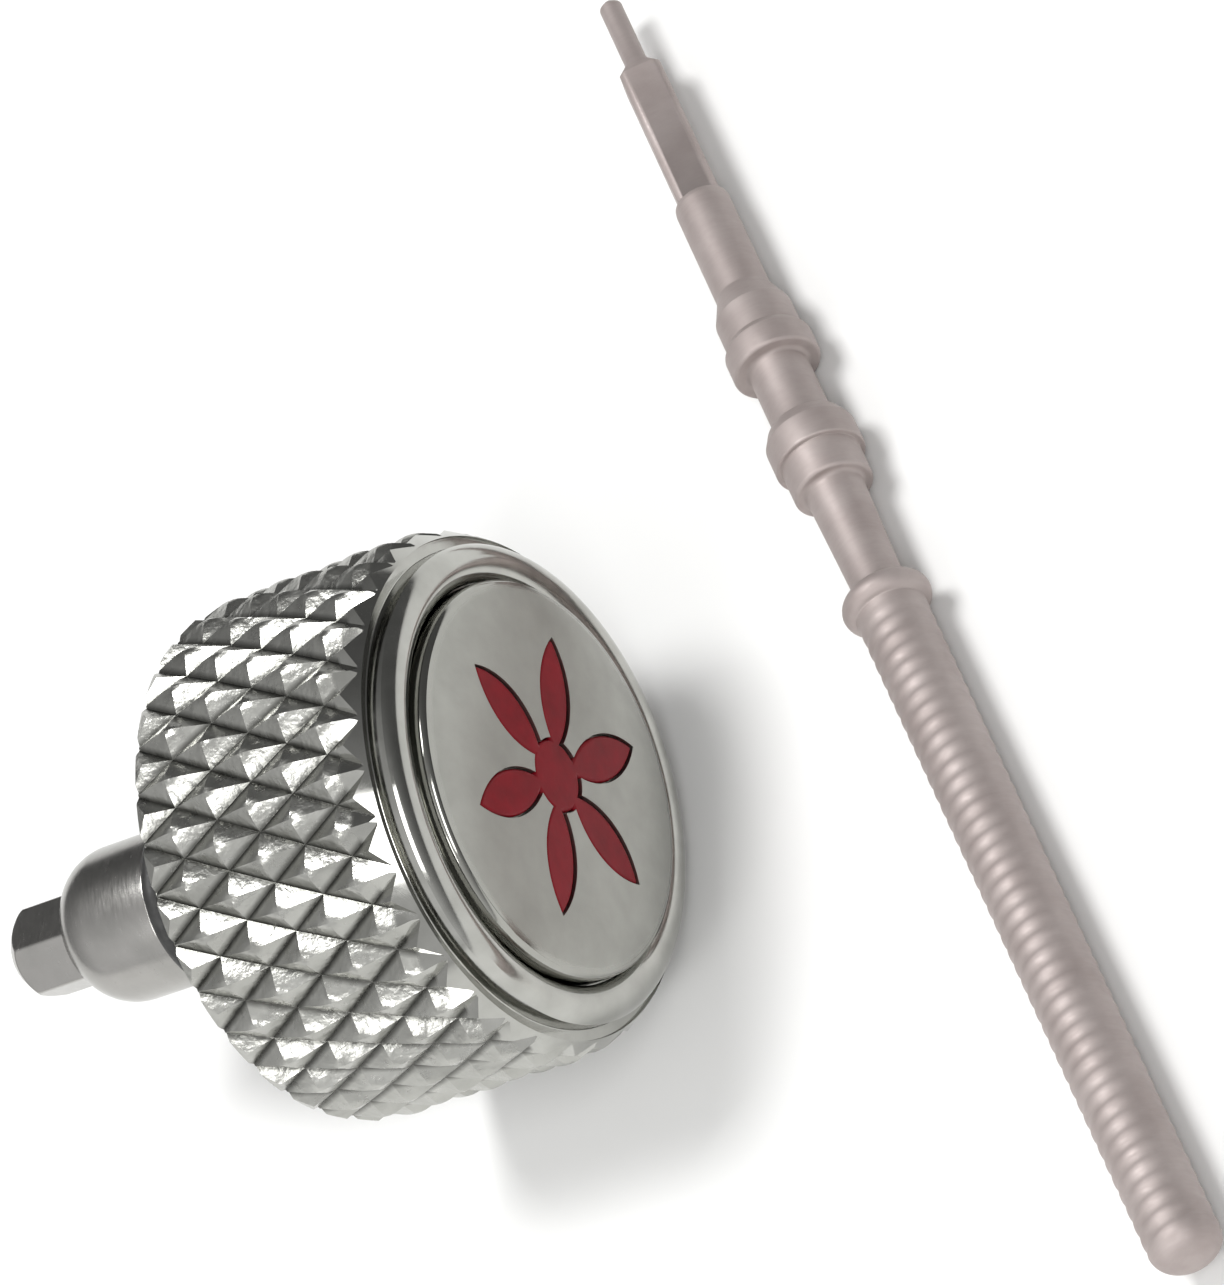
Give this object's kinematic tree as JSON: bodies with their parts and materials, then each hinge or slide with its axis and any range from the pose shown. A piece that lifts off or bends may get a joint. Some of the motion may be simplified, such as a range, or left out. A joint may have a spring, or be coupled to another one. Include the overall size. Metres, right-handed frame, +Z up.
{
  "type": "watch crown and stem",
  "caption": "Screw-down watch crown with a diamond-knurled head, ringed face and sprung hexagonal post, with its unscrewed winding stem lying beside it.",
  "frame": {"origin": "centre of the crown's open back, on the plane of its back rim", "axes": "+X along the crown's axis out of its face, +Z up from the surface on which the crown and stem lie, +Y across the crown towards the stem's thin end"},
  "size_m": [0.0151, 0.0192, 0.0066],
  "materials": {
    "polished_steel": "polished",
    "satin_steel": "satin",
    "plain_steel": "satin",
    "stem_steel": "satin",
    "red_enamel": "gloss",
    "black_rubber": "matte"
  },
  "bodies": {
    "crown": {"crown_head": "polished_steel", "face_disc": "satin_steel", "enamel_inlay": "red_enamel", "crown_gasket": "black_rubber", "gasket_washer": "plain_steel", "sleeve": "plain_steel", "sleeve_o_ring": "black_rubber", "crown_spring": "plain_steel"},
    "post": {"sliding_post": "plain_steel"},
    "stem": {"winding_stem": "stem_steel"}
  },
  "joints": [
    {"name": "post_slide", "type": "slide", "parent": "crown", "child": "post", "axis": [1, 0, 0], "range_m": [0, 0.0008], "stiffness_N_per_m": 100, "springref_m": -0.003, "deforming": ["crown_spring"]},
    {"name": "stem_lift", "type": "slide", "parent": "crown", "child": "stem", "axis": [0, 0, 1], "range_m": [0, 0.01]}
  ]
}
